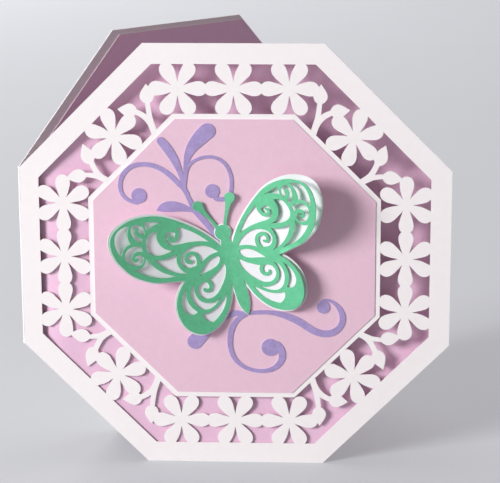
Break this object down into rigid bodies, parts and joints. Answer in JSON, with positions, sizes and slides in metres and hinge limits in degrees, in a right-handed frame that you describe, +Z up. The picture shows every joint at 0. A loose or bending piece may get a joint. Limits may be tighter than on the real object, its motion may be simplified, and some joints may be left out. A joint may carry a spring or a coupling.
{
  "type": "greeting card",
  "caption": "folded octagonal greeting card standing open, with a cut flower lattice around its front, a pink insert and mat, scroll ornaments and a raised filigree butterfly",
  "frame": {"origin": "middle of the bounding box in plan, on the surface that the card stands on", "axes": "+X runs from the fold towards the front panel's free edge, +Y from the front panel back to the far edge of the back panel, +Z up; the decorated face looks along -Y"},
  "size_m": [0.145, 0.123, 0.145],
  "materials": {
    "white_card": "smooth matt white card",
    "pink_paper": "pearl pink paper",
    "pale_pink_paper": "pearl pale pink paper",
    "lilac_paper": "pearl lilac paper",
    "pearl_white_paper": "pearl white paper",
    "green_paper": "pearl sea-green paper"
  },
  "bodies": {
    "root": {"card_base": "white_card", "insert": "pink_paper", "centre_mat": "pale_pink_paper", "upper_flourish": "lilac_paper", "lower_flourish": "lilac_paper", "butterfly_backing": "pearl_white_paper", "butterfly_overlay": "green_paper"}
  },
  "joints": []
}
